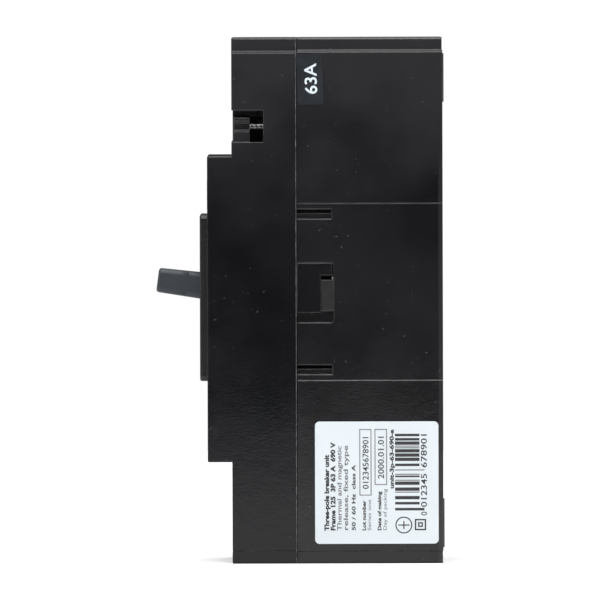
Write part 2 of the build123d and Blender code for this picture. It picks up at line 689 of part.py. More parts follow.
def make_spring_washer(x, z):
    ring = rod_y(x, z, 6.4, -27.1, -29.2) - rod_y(x, z, 4.3, -27, -30)
    return ring - Pos(x + 5.3, -28.15, z) * Rot(20, 0, 0) * Box(3, 4, 0.8)


def make_nut(x, z):
    hexagon = Pos(x, z) * RegularPolygon(6.5, 6, major_radius=False)
    nut = extrude(Plane.XZ.offset(16.6) * hexagon, amount=5.8)
    return nut - rod_y(x, z, 4.0, -16, -23)


def terminal_places():
    return [(x, sign * TERMINAL_Z) for x in POLES.values() for sign in (1, -1)]


# --- trip unit ---

def make_trip_bar():
    y, z = TRIP_AXIS
    bar = rod_x(y, z, 2.2, -33.3, 33.3)
    tabs = [box(x - 6.4, x + 6.4, y + 1, y + 5, z - 1, z + 1) for x in POLES.values()]
    push = box(BUTTON_X - 1.5, BUTTON_X + 1.5, y - 0.8, y + 1, BUTTON_Z - 1.5, z)
    flat = box(-3.6, 3.6, y - 3, y, z - 3, z + 3)
    return bar + tabs + [push] - flat


def make_trip_bar_spring():
    y, z = TRIP_AXIS
    return coil((-17.6, y, z), (-15.2, y, z), 2.6, 0.22, 4)


def make_trip_button():
    cap = rod_y(BUTTON_X, BUTTON_Z, 2.0, -56.0, -58.2)
    cap = fillet(cap.faces().sort_by(Axis.Y)[0].edges(), 0.4)
    flange = rod_y(BUTTON_X, BUTTON_Z, 3.1, -55.1, -56.3)
    stem = rod_y(BUTTON_X, BUTTON_Z, 1.3, -36, -56)
    nose = rod_y(BUTTON_X, BUTTON_Z, 0.6, -34.3, -36)
    return cap + [flange, stem, nose]


def make_trip_button_spring():
    return coil((BUTTON_X, -44.35, BUTTON_Z), (BUTTON_X, -54.75, BUTTON_Z), 2.0, 0.28, 7)


# --- labels ---

def label_x(x0, y0, y1, z0, z1, r):
    face = Pos((y0 + y1) / 2, (z0 + z1) / 2) * RectangleRounded(y1 - y0, z1 - z0, r)
    return extrude(Plane.YZ.offset(x0) * face, amount=0.1)


def make_front_label():
    face = Pos(0, 26.4) * RectangleRounded(44, 7.6, 0.6)
    return extrude(Plane.XZ.offset(-DECK) * face, amount=0.1)


save("base", make_base())
save("cover", make_cover())
save("accessory_cover", make_accessory_cover())
save("cover_screws", *[make_cover_screw(x, z) for x in (SCREW_X, -SCREW_X)
                       for z in (SCREW_TOP_Z, SCREW_BOTTOM_Z)])
save("accessory_cover_screws", *[make_small_screw(x, z) for x in (30, -30)
                                 for z in (27.4, -32.0)])
save("side_label", label_x(HALF_WIDTH, -32.0, -1.5, -60.1, -29.9, 1.1))
save("rating_sticker", turned(label_x(HALF_WIDTH, -36.2, -29.85, 48.4, 60.9, 0.3),
                              STICKER_TILT, (-33.0, 54.6)))
save("front_label", make_front_label())

save("handle", make_handle())
save("handle_yoke", make_handle_yoke())
save("frame_right", make_frame())
save("frame_left", mirror(make_frame(), Plane.YZ))
save("frame_spacer", rod_x(-30, -18.5, 1.0, -9.9, 9.9) + rod_x(-30, -18.5, 1.6, -7.98, 7.98))
save("frame_screws", *[make_frame_screw(x, z) for x in (7.2, -7.2) for z in (7, -21)])
save("cradle", make_cradle())
save("cradle_pin", rod_x(*CRADLE_AXIS, 1.0, -9.9, 9.9))
save("toggle_pin", rod_x(*rest_points()[1], 1.0, -6.6, 6.6))
save("latch", make_latch())
save("latch_pin", rod_x(*LATCH_AXIS, 1.0, -9.9, 9.9))
save("upper_links", *make_upper_links())
save("lower_links", *make_lower_links())
save("knee_pin", rod_x(*rest_points()[2], 1.0, -7.7, 7.7))
save("main_springs", *make_main_springs())

save("crossbar", make_crossbar())
save("drive_pins", *mirrored([turned(rod_x(*DRIVE_CLOSED, 1.2, 4.4, 7.8),
                                     OPEN_ANGLE, CROSSBAR_AXIS)]))
save("arm_pins", *[rod_x(*CROSSBAR_AXIS, 1.5, x - 6.3, x + 6.3) for x in POLES.values()])
save("contact_springs", *[make_contact_spring(x) for x in POLES.values()])
save("moving_tips", *[make_moving_tip(x) for x in POLES.values()])
save("fixed_tips", *[box(x - 3.5, x + 3.5, -10.5, -8.5, 14.2, 20.2) for x in POLES.values()])
for pole, place in POLES.items():
    save(f"moving_arm_{pole}", make_arm(place))
    save(f"line_terminal_{pole}", make_line_terminal(place))
    save(f"load_terminal_{pole}", make_load_terminal(place))
    save(f"arc_plates_{pole}", *make_arc_plates(place))
    save(f"armature_{pole}", make_armature(place))
save("braids", *[make_braid(x) for x in POLES.values()])
save("arc_chute_walls", *[w for x in POLES.values() for w in make_arc_walls(x)])
save("bimetals", *[make_bimetal(x) for x in POLES.values()])
save("calibration_screws", *[make_calibration_screw(x) for x in POLES.values()])
save("magnet_yokes", *[make_magnet_yoke(x) for x in POLES.values()])
save("armature_springs", *[make_armature_spring(x) for x in POLES.values()])

save("terminal_screws", *[make_terminal_screw(x, z) for x, z in terminal_places()])
save("terminal_washers", *[make_washer(x, z) for x, z in terminal_places()])
save("terminal_spring_washers", *[make_spring_washer(x, z) for x, z in terminal_places()])
save("terminal_nuts", *[make_nut(x, z) for x, z in terminal_places()])
save("trip_bar", make_trip_bar())
save("trip_bar_spring", make_trip_bar_spring())
save("trip_button", make_trip_button())
save("trip_button_spring", make_trip_button_spring())
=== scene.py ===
import json
import math
import random

import bpy
from mathutils import Matrix, Vector, noise

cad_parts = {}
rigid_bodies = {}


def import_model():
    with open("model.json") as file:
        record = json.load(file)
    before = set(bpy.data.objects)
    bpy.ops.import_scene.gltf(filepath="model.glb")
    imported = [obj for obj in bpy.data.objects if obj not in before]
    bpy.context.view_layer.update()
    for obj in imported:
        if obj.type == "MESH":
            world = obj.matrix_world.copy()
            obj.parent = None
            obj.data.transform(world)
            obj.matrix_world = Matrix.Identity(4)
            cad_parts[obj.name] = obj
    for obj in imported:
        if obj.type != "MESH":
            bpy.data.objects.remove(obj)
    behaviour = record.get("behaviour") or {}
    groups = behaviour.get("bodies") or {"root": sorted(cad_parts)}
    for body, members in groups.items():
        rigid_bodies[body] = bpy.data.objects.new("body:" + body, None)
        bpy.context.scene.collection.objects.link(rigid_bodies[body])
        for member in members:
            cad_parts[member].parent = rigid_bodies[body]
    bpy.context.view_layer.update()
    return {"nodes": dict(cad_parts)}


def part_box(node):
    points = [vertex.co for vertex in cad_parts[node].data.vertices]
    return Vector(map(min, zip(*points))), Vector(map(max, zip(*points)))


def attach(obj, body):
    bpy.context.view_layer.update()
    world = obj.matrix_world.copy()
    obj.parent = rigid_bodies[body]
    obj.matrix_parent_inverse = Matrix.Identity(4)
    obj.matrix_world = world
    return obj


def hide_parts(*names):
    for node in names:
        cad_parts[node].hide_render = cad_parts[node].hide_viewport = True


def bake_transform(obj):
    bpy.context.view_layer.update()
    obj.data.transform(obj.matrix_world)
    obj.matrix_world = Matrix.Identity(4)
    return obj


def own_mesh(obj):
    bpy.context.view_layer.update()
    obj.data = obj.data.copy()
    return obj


MM = 0.001

for leftover in list(bpy.data.objects):
    bpy.data.objects.remove(leftover)

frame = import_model()

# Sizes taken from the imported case.
base_low, base_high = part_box("base")
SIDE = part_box("cover")[1].x
SEAM = base_low.y
TOP = base_high.z

# Sizes that repeat the CAD model's, as the frame's boxes don't give them.
END_BAND = 3.2 * MM
END_BAND_INSET = 0.7 * MM
COVER_SCREW_HEAD = 2.3 * MM
STICKER_TILT = 2.2  # degrees

# Print is a thin raised layer that floats just clear of its label.
PRINT_HEIGHT = 0.010
PRINT_GAP = 0.002 * MM

FLOOR_RADIUS = 1.45


# --- shader helper ---

class Shader:
    """Adds and joins the nodes of one material."""

    def __init__(self, name):
        self.material = bpy.data.materials.new(name)
        self.material.use_nodes = True
        self.tree = self.material.node_tree
        self.tree.nodes.clear()
        self.surface = self.add("ShaderNodeBsdfPrincipled")
        output = self.add("ShaderNodeOutputMaterial")
        self.join(self.surface.outputs["BSDF"], output.inputs["Surface"])
        self.place = self.add("ShaderNodeTexCoord").outputs["Object"]

    def add(self, kind, **settings):
        node = self.tree.nodes.new(kind)
        for name, value in settings.items():
            setattr(node, name, value)
        return node

    def join(self, source, target):
        self.tree.links.new(source, target)

    def feed(self, socket, value):
        if isinstance(value, bpy.types.NodeSocket):
            self.join(value, socket)
        else:
            socket.default_value = value

    def fixed(self, **values):
        """Constant values on the shader's own sockets."""
        for name, value in values.items():
            self.surface.inputs[name.replace("_", " ")].default_value = value

    def stretched(self, scale, turn=(0, 0, 0), place=None):
        mapping = self.add("ShaderNodeMapping")
        self.join(place or self.place, mapping.inputs["Vector"])
        mapping.inputs["Scale"].default_value = scale
        mapping.inputs["Rotation"].default_value = turn
        return mapping.outputs["Vector"]

    def noise(self, scale, detail=2.0, roughness=0.5, place=None):
        node = self.add("ShaderNodeTexNoise")
        self.join(place or self.place, node.inputs["Vector"])
        node.inputs["Scale"].default_value = scale
        node.inputs["Detail"].default_value = detail
        node.inputs["Roughness"].default_value = roughness
        return node.outputs["Fac"]

    def cells(self, scale, place=None):
        """Distance to a cell's middle and the cell's own random value, on a flat place if given."""
        node = self.add("ShaderNodeTexVoronoi", voronoi_dimensions="2D" if place else "3D")
        self.join(place or self.place, node.inputs["Vector"])
        node.inputs["Scale"].default_value = scale
        split = self.add("ShaderNodeSeparateColor")
        self.join(node.outputs["Color"], split.inputs[0])
        return node.outputs["Distance"], split.outputs[0]

    def unfolded(self):
        """Flat place that runs on over the sides, the front and the ends."""
        split = self.add("ShaderNodeSeparateXYZ")
        self.join(self.place, split.inputs[0])
        across = split.outputs["X"]
        flat = self.add("ShaderNodeCombineXYZ")
        for socket, along, slant in (("X", "Y", 0.37), ("Y", "Z", 0.53)):
            shifted = self.math("ADD", split.outputs[along], self.math("MULTIPLY", across, slant))
            self.join(shifted, flat.inputs[socket])
        return flat.outputs[0]

    def math(self, operation, a, b=0.0):
        node = self.add("ShaderNodeMath", operation=operation)
        self.feed(node.inputs[0], a)
        self.feed(node.inputs[1], b)
        return node.outputs[0]

    def ramp(self, value, low, high, at_low=0.0, at_high=1.0):
        node = self.add("ShaderNodeMapRange", interpolation_type="SMOOTHSTEP")
        self.feed(node.inputs["Value"], value)
        node.inputs["From Min"].default_value = low
        node.inputs["From Max"].default_value = high
        node.inputs["To Min"].default_value = at_low
        node.inputs["To Max"].default_value = at_high
        return node.outputs["Result"]

    def blend(self, share, a, b):
        node = self.add("ShaderNodeMix", data_type="RGBA")
        self.feed(node.inputs["Factor"], share)
        for socket, value in ((node.inputs[6], a), (node.inputs[7], b)):
            self.feed(socket, value if isinstance(value, bpy.types.NodeSocket) else (*value, 1.0))
        return node.outputs[2]

    def rounded(self, radius):
        node = self.add("ShaderNodeBevel", samples=6)
        node.inputs["Radius"].default_value = radius
        return node.outputs["Normal"]

    def edges(self, radius):
        """1 along sharp edges, fading to 0 within the radius."""
        dot = self.add("ShaderNodeVectorMath", operation="DOT_PRODUCT")
        self.join(self.rounded(radius), dot.inputs[0])
        self.join(self.add("ShaderNodeNewGeometry").outputs["Normal"], dot.inputs[1])
        return self.ramp(dot.outputs["Value"], 0.98, 0.80)

    def bump(self, height, depth, normal=None):
        node = self.add("ShaderNodeBump")
        node.inputs["Strength"].default_value = 1.0
        node.inputs["Distance"].default_value = depth
        self.join(height, node.inputs["Height"])
        if normal is not None:
            self.join(normal, node.inputs["Normal"])
        return node.outputs["Normal"]

    def set(self, name, value):
        self.join(value, self.surface.inputs[name])


# --- materials ---

def hairlines(shader, turn, density):
    """Sparse fine scratches along one direction."""
    lines = shader.noise(1.0, 1.0, 0.4, shader.stretched((55, 2600, 55), turn))
    patches = shader.noise(70.0, 1.0)
    return shader.math("MULTIPLY", shader.ramp(lines, density, density + 0.05),
                       shader.ramp(patches, 0.60, 0.70))


def specks(shader, scale, size, share, place=None):
    """Small marks in a share of the cells, round unless the place is stretched."""
    distance, chance = shader.cells(scale, place)
    return shader.math("MULTIPLY", shader.ramp(distance, size, size * 0.5),
                       shader.ramp(chance, 1 - share, 1 - share + 0.02))


def dust_and_painted_sheen(shader):
    """Lighter haze, partly thin dust and partly painted sheen of light from above: patchy towards the line
    end, steady on the end band and at the back rim.
    """
    split = shader.add("ShaderNodeSeparateXYZ")
    shader.join(shader.place, split.inputs[0])
    patches = shader.noise(28.0, 3.0, 0.6)
    height = shader.math("ADD", split.outputs["Z"], shader.ramp(patches, 0.25, 0.75, -0.012, 0.012))
    upper = shader.ramp(height, 0.016, 0.060, 0.0, 0.62)
    band = shader.ramp(split.outputs["Z"], TOP - END_BAND - 0.1 * MM, TOP - END_BAND + 0.3 * MM, 0.0, 0.50)
    rim = shader.ramp(split.outputs["Y"], -1.6 * MM, -1.2 * MM, 0.0, 0.45)
    return shader.math("MAXIMUM", shader.math("MAXIMUM", upper, band), rim)


def molded(name, dark, light, rough, edge, grain=0.004 * MM, round_edges=0.34 * MM, gloss=0.36,
           painted_sheen_and_dust=False):
    """Hard molded plastic: mottled colour, uneven gloss, edges painted lighter as rubbed wear and painted
    highlight, dust and scratches.
    """
    s = Shader(name)
    s.fixed(Specular_IOR_Level=gloss)
    mottle = s.noise(38.0, 4.0, 0.55)
    cloud = s.noise(11.0, 2.0, 0.5)
    colour = s.blend(s.ramp(mottle, 0.32, 0.70), dark, light)
    if painted_sheen_and_dust:
        # Painted sheen mixed with dust: the haze colour lightens the upper part, the end band and the back
        # rim.
        colour = s.blend(dust_and_painted_sheen(s), colour, (0.030, 0.029, 0.031))
    # Edges painted lighter: partly rubbed wear, partly a painted highlight of light on the rounded edges.
    rubbed_and_lit_edges = s.edges(round_edges * 1.3)
    wear_and_edge_highlight = s.math("MULTIPLY", rubbed_and_lit_edges, s.ramp(s.noise(260.0, 3.0), 0.34, 0.66, 0.10, 0.75))
    colour = s.blend(wear_and_edge_highlight, colour, edge)
    marks = s.math("MAXIMUM", hairlines(s, (0, 0.45, 0.2), 0.73), hairlines(s, (0.9, 0.1, 1.3), 0.74))
    flat = s.unfolded()
    dust = s.math("MAXIMUM", specks(s, 150.0, 0.020, 0.20, flat), specks(s, 420.0, 0.045, 0.08, flat))
    for angle, share in ((0.9, 0.10), (-0.6, 0.08), (1.5, 0.05)):
        turned = s.stretched((1, 1, 1), (0, 0, angle), flat)
        dust = s.math("MAXIMUM", dust, specks(s, 1.0, 0.030, share, s.stretched((330, 70, 1), place=turned)))
    marks = s.math("MAXIMUM", s.math("MULTIPLY", marks, 0.22), s.math("MULTIPLY", dust, 0.7))
    s.set("Base Color", s.blend(marks, colour, (0.085, 0.085, 0.09)))
    wear = s.math("ADD", s.ramp(mottle, 0.30, 0.72, rough - 0.02, rough + 0.025),
                  s.ramp(cloud, 0.35, 0.65, -0.01, 0.015))
    s.set("Roughness", s.math("ADD", wear, s.math("MULTIPLY", marks, 0.25)))
    height = s.math("ADD", s.noise(2100.0, 2.0), s.math("MULTIPLY", s.noise(260.0, 2.0), 1.6))
    s.set("Normal", s.bump(height, grain, s.rounded(round_edges)))
    return s.material


def metal(name, tone, stain, rough, scale=900.0, brushed=(1, 1, 1), edge=None):
    """Plated or bare metal with stains, fine drawing lines and a painted highlight along the edges."""
    s = Shader(name)
    s.fixed(Metallic=1.0)
    patches = s.noise(150.0, 4.0, 0.6)
    colour = s.blend(s.ramp(patches, 0.35, 0.75), tone, stain)
    # Painted highlight: the edges take the brighter edge colour.
    if edge:
        colour = s.blend(s.edges(0.15 * MM), colour, edge)
    s.set("Base Color", colour)
    lines = s.noise(scale, 3.0, 0.6, s.stretched(brushed))
    s.set("Roughness", s.math("ADD", s.ramp(lines, 0.3, 0.7, rough - 0.08, rough + 0.10),
                              s.ramp(patches, 0.4, 0.8, 0.0, 0.12)))
    s.set("Normal", s.bump(lines, 0.004 * MM, s.rounded(0.08 * MM)))
    return s.material


def spring_wire():
    """Oiled spring steel wire with faint drawing marks."""
    s = Shader("spring_steel finish")
    s.fixed(Metallic=1.0)
    patches = s.noise(400.0, 3.0)
    s.set("Base Color", s.blend(s.ramp(patches, 0.35, 0.7), (0.36, 0.36, 0.37), (0.23, 0.22, 0.215)))
    s.set("Roughness", s.ramp(patches, 0.3, 0.7, 0.24, 0.42))
    s.set("Normal", s.bump(s.noise(5200.0, 2.0), 0.003 * MM))
    return s.material


def braided_copper():
    """Flat woven strap of fine copper wires."""
    s = Shader("braid_copper finish")
    s.fixed(Metallic=1.0)
    over = s.add("ShaderNodeTexWave", wave_type="BANDS", bands_direction="DIAGONAL")
    under = s.add("ShaderNodeTexWave", wave_type="BANDS", bands_direction="DIAGONAL")
    s.join(s.stretched((1, 1, 1)), over.inputs["Vector"])
    s.join(s.stretched((-1, 1, 1)), under.inputs["Vector"])
    for wave in (over, under):
        wave.inputs["Scale"].default_value = 900.0
        wave.inputs["Distortion"].default_value = 0.6
    weave = s.math("MAXIMUM", over.outputs["Fac"], under.outputs["Fac"])
    s.set("Base Color", s.blend(weave, (0.22, 0.085, 0.04), (0.80, 0.42, 0.26)))
    s.set("Roughness", s.ramp(weave, 0.2, 0.9, 0.60, 0.30))
    s.set("Normal", s.bump(weave, 0.06 * MM))
    return s.material


def fibre():
    """Pressed grey-white fibre board with short strands."""
    s = Shader("fibre finish")
    strands = s.noise(1.0, 4.0, 0.6, s.stretched((700, 160, 900), (0.3, 0, 0)))
    s.set("Base Color", s.blend(s.ramp(strands, 0.35, 0.65), (0.50, 0.47, 0.40), (0.66, 0.63, 0.56)))
    s.set("Roughness", s.ramp(strands, 0.3, 0.7, 0.75, 0.95))
    s.set("Normal", s.bump(strands, 0.03 * MM))
    return s.material


def satin_paper():
    """White film label, faintly blue, with slight print cockle."""
    s = Shader("white_label finish")
    haze = s.noise(55.0, 3.0)
    s.set("Base Color", s.blend(s.ramp(haze, 0.3, 0.7), (0.565, 0.605, 0.635), (0.585, 0.63, 0.66)))
    s.set("Roughness", s.ramp(s.noise(300.0, 3.0), 0.3, 0.7, 0.42, 0.56))
    s.set("Normal", s.bump(s.math("ADD", haze, s.math("MULTIPLY", s.noise(1500.0), 0.05)),
                           0.05 * MM))
    return s.material


def dark_film():
    """Dark blue-grey printed sticker with dust under the film."""
    s = Shader("dark_label finish")
    s.fixed(Specular_IOR_Level=0.25)
    haze = s.noise(240.0, 5.0, 0.65)
    colour = s.blend(s.ramp(haze, 0.30, 0.72), (0.0050, 0.0068, 0.0096), (0.0095, 0.0122, 0.0165))
    s.set("Base Color", s.blend(specks(s, 900.0, 0.10, 0.12), colour, (0.10, 0.11, 0.12)))
    s.set("Roughness", s.ramp(haze, 0.3, 0.7, 0.38, 0.55))
    s.set("Normal", s.bump(s.noise(900.0, 3.0), 0.012 * MM))
    return s.material


def ink(name, colour):
    """Print ink, slightly uneven where it is thin."""
    s = Shader(name)
    thin = s.noise(2600.0, 2.0)
    paler = tuple(c * 1.5 + 0.02 for c in colour)
    s.set("Base Color", s.blend(s.ramp(thin, 0.40, 0.75), colour, tuple(min(1.0, c) for c in paler)))
    s.set("Roughness", s.ramp(thin, 0.3, 0.7, 0.40, 0.60))
    return s.material


def flash_plastic():
    """Thin torn flash left by the mold along the parting line."""
    s = Shader("parting line flash")
    tone = s.noise(900.0, 4.0, 0.7)
    s.set("Base Color", s.blend(s.ramp(tone, 0.35, 0.7), (0.022, 0.022, 0.024), (0.20, 0.20, 0.205)))
    s.set("Roughness", s.ramp(tone, 0.3, 0.7, 0.35, 0.6))
    return s.material


def finishes():
    """One finish for each material slot of the record."""
    # The fourth colour of each molded finish is painted onto its edges, partly as rubbed wear and partly as
    # a painted highlight.
    return {
        # molding and cover_molding carry the lighter haze, partly dust and partly painted sheen.
        "molding": molded("molding finish", (0.0040, 0.0040, 0.0048), (0.0066, 0.0062, 0.0074),
                          0.10, (0.068, 0.068, 0.070), painted_sheen_and_dust=True),
        "cover_molding": molded("cover_molding finish", (0.0028, 0.0030, 0.0040),
                                (0.0050, 0.0048, 0.0060), 0.09, (0.062, 0.062, 0.064),
                                gloss=0.26, painted_sheen_and_dust=True),
        "door_molding": molded("door_molding finish", (0.0060, 0.0061, 0.0068),
                               (0.0110, 0.0108, 0.0116), 0.22, (0.040, 0.040, 0.042)),
        "handle_plastic": molded("handle_plastic finish", (0.024, 0.029, 0.037),
                                 (0.032, 0.038, 0.048), 0.42, (0.080, 0.086, 0.095),
                                 0.010 * MM, 0.15 * MM),
        "insulator": molded("insulator finish", (0.045, 0.022, 0.012), (0.070, 0.034, 0.018),
                            0.45, (0.14, 0.08, 0.05)),
        "red_plastic": molded("red_plastic finish", (0.46, 0.012, 0.010), (0.56, 0.020, 0.015),
                              0.32, (0.70, 0.10, 0.08), 0.003 * MM, 0.1 * MM),
        "fibre": fibre(),
        # The last colour of copper, plated_steel and black_steel is a painted highlight along their edges.
        "copper": metal("copper finish", (0.80, 0.42, 0.27), (0.50, 0.24, 0.14), 0.34,
                        700.0, (1, 1, 6), (0.90, 0.55, 0.38)),
        "braid_copper": braided_copper(),
        "silver": metal("silver finish", (0.82, 0.80, 0.76), (0.50, 0.48, 0.44), 0.30),
        "plated_steel": metal("plated_steel finish", (0.62, 0.63, 0.64), (0.42, 0.42, 0.40), 0.30,
                              1100.0, (1, 1, 1), (0.80, 0.80, 0.80)),
        "black_steel": metal("black_steel finish", (0.11, 0.11, 0.115), (0.05, 0.05, 0.052), 0.22,
                             1100.0, (1, 1, 1), (0.80, 0.80, 0.82)),
        "arc_steel": metal("arc_steel finish", (0.30, 0.30, 0.29), (0.17, 0.16, 0.15), 0.45),
        "spring_steel": spring_wire(),
        "bimetal": metal("bimetal finish", (0.58, 0.52, 0.42), (0.36, 0.32, 0.27), 0.34,
                         800.0, (1, 8, 1)),
        "white_label": satin_paper(),
        "dark_label": dark_film(),
    }


FINISH = finishes()
BLACK_INK = ink("black ink", (0.012, 0.012, 0.014))
GREY_INK = ink("grey ink", (0.11, 0.11, 0.12))
PALE_INK = ink("pale ink", (0.50, 0.57, 0.62))
for node in frame["nodes"].values():
    for place, old in enumerate(list(node.data.materials)):
        node.data.materials[place] = FINISH[old.name]


# --- small pieces ---

def piece(name, verts, faces, material, body, smooth=False):
    mesh = bpy.data.meshes.new(name)
    mesh.from_pydata([tuple(v) for v in verts], [], faces)
    mesh.materials.append(material)
    mesh.polygons.foreach_set("use_smooth", [smooth] * len(mesh.polygons))
    mesh.update()
    obj = bpy.data.objects.new(name, mesh)
    bpy.context.scene.collection.objects.link(obj)
    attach(obj, body)
    return obj


def flexible(node_name):
    """A copy of a CAD spring or braid that takes its place, with the CAD node hidden."""
    node = frame["nodes"][node_name]
    copy = bpy.data.objects.new(node_name + "_flexible", node.data.copy())
    bpy.context.scene.collection.objects.link(copy)
    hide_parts(node_name)
    return copy


def springs_and_braids():
    """Copies of the handle springs and the braids, fixed where they stand, and of the button's spring,
    carried by the case on a mesh of its own.
    """
    springs = flexible("main_springs")
    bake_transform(springs)
    braids = flexible("braids")
    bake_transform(braids)
    spring = flexible("trip_button_spring")
    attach(spring, "case")
    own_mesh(spring)


def ring_faces(start, count, sides):
    """Quads that join `count` rings of `sides` points, numbered from `start`."""
    faces = []
    for k in range(count - 1):
        for i in range(sides):
            a = start + k * sides
            j = (i + 1) % sides
            faces.append((a + i, a + j, a + sides + j, a + sides + i))
    return faces


def end_caps(start, count, sides):
    last = start + (count - 1) * sides
    return [tuple(start + i for i in reversed(range(sides))), tuple(last + i for i in range(sides))]


def seam_flash(side):
    """Wavy bead of flash on the cover's rim, from the lower to the upper end."""
    step = 0.4 * MM
    count = int(2 * TOP / step) + 1
    verts = []
    for k in range(count):
        z = -TOP + 2 * TOP * k / (count - 1)
        in_band = abs(z) > TOP - END_BAND
        face = SIDE - (END_BAND_INSET if in_band else 0)
        wave = noise.noise(Vector((0, side * 5.0, z / (1.9 * MM))))
        fine = noise.noise(Vector((3.0, side * 5.0, z / (0.7 * MM))))
        half = (0.080 + 0.060 * wave) * MM
        proud = max(0.012, 0.055 + 0.055 * fine) * MM
        y = SEAM - (0.22 + 0.05 * wave) * MM
        for dy, dx in ((-half, -0.05 * MM), (-half * 0.4, proud), (half * 0.4, proud), (half, -0.05 * MM)):
            verts.append(Vector((side * (face + dx), y + dy * side, z)))
    faces = ring_faces(0, count, 4) + end_caps(0, count, 4)
    name = "seam_flash_right" if side > 0 else "seam_flash_left"
    return piece(name, verts, faces, flash_material, "case", True)


flash_material = flash_plastic()
for side in (1, -1):
    seam_flash(side)


def screw_thread(name, x, z, y_tip, y_end):
    """Helical ridge of a self-tapping screw round its shank."""
    root, crest, pitch = 1.18 * MM, 1.46 * MM, 1.08 * MM
    per_turn = 28
    turns = (y_tip - y_end) / pitch
    count = int(turns * per_turn)
    verts = []
    for k in range(count + 1):
        along = y_tip - (y_tip - y_end) * k / count
        angle = 2 * math.pi * k / per_turn
        grow = min(1.0, k / per_turn / 2, (count - k) / per_turn * 2)
        top = root + (crest - root) * grow
        for radius, dy in ((root - 0.05 * MM, 0.28), (top, 0.05), (top, -0.05), (root - 0.05 * MM, -0.28)):
            verts.append((x + radius * math.cos(angle), along + dy * MM, z + radius * math.sin(angle)))
    faces = ring_faces(0, count + 1, 4) + end_caps(0, count + 1, 4)
    return piece(name, verts, faces, FINISH["black_steel"], "case")


def cover_screw_threads():
    low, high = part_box("cover_screws")
    head = COVER_SCREW_HEAD
    places = [(high.x - head, high.z - head), (low.x + head, high.z - head),
              (high.x - head, low.z + head), (low.x + head, low.z + head)]
    for number, (x, z) in enumerate(places, 1):
        screw_thread(f"cover_screw_thread_{number}", x, z, high.y - 0.9 * MM, low.y + 1.9 * MM)


cover_screw_threads()


# --- print on the labels ---

class Print:
    """Collects flat print on one surface and makes a single piece from it."""

    def __init__(self, origin, along, up):
        along, up = Vector(along), Vector(up)
        normal = along.cross(up)
        self.matrix = Matrix((along, up, normal)).transposed().to_4x4()
        self.matrix.translation = Vector(origin)
        self.verts = []
        self.faces = []

    def add(self, verts, faces):
        start = len(self.verts)
        self.verts += [self.matrix @ Vector(v) for v in verts]
        self.faces += [tuple(start + i for i in f) for f in faces]

    def bar(self, u0, u1, v0, v1):
        u0, u1, v0, v1, h = (n * MM for n in (u0, u1, v0, v1, PRINT_HEIGHT))
        corners = [(u0, v0), (u1, v0), (u1, v1), (u0, v1)]
        verts = [(u, v, 0) for u, v in corners] + [(u, v, h) for u, v in corners]
        self.add(verts, [(3, 2, 1, 0), (4, 5, 6, 7), (0, 1, 5, 4), (1, 2, 6, 5), (2, 3, 7, 6), (3, 0, 4, 7)])

    def outline(self, u0, u1, v0, v1, line):
        self.bar(u0, u1, v0, v0 + line)
        self.bar(u0, u1, v1 - line, v1)
        self.bar(u0, u0 + line, v0 + line, v1 - line)
        self.bar(u1 - line, u1, v0 + line, v1 - line)

    def ring(self, u, v, radius, line):
        steps = 40
        verts = []
        for k in range(steps + 1):
            a = math.radians(360.0 * k / steps)
            inner = radius - line
            for r, h in ((inner, 0), (radius, 0), (radius, PRINT_HEIGHT), (inner, PRINT_HEIGHT)):
                verts.append(((u + r * math.cos(a)) * MM, (v + r * math.sin(a)) * MM, h * MM))
        faces = ring_faces(0, steps + 1, 4)
        self.add(verts, [f[::-1] for f in faces + end_caps(0, steps + 1, 4)])

    def text(self, words, u, v, height, width=None, bold=0.0):
        """Words whose capitals are `height` mm tall, squeezed to `width` mm if given."""
        curve = bpy.data.curves.new("words", "FONT")
        curve.body = words
        curve.size = 1.0
        curve.offset = bold
        curve.resolution_u = 3
        curve.extrude = 0.5
        holder = bpy.data.objects.new("words", curve)
        bpy.context.scene.collection.objects.link(holder)
        bpy.context.view_layer.update()
        solved = holder.evaluated_get(bpy.context.evaluated_depsgraph_get())
        mesh = bpy.data.meshes.new_from_object(solved)
        xs = [p.co.x for p in mesh.vertices]
        capital = 0.70
        scale = height * MM / capital
        stretch = width * MM / (max(xs) - min(xs)) if width else scale
        verts = [(u * MM + p.co.x * stretch, v * MM + p.co.y * scale, (p.co.z + 0.5) * PRINT_HEIGHT * MM)
                 for p in mesh.vertices]
        self.add(verts, [tuple(f.vertices) for f in mesh.polygons])
        bpy.data.objects.remove(holder)
        bpy.data.curves.remove(curve)
        bpy.data.meshes.remove(mesh)

    def make(self, name, material):
        return piece(name, self.verts, self.faces, material, "case")


def barcode(sheet, u0, u1, v_top, v_bottom, v_guard, seed):
    """Bars of random widths with longer guard bars at both ends and the middle."""
    draw = random.Random(seed)
    module = (u1 - u0) / 95
    u = u0
    while u < u1 - module:
        width = module * draw.choice((1, 1, 2, 3, 4))
        width = min(width, u1 - u)
        edge = min(u - u0, u1 - u, abs(u - (u0 + u1) / 2))
        sheet.bar(u, u + width, v_guard if edge < 2.5 * module else v_bottom, v_top)
        u += width + module * draw.choice((1, 1, 2, 3, 4))


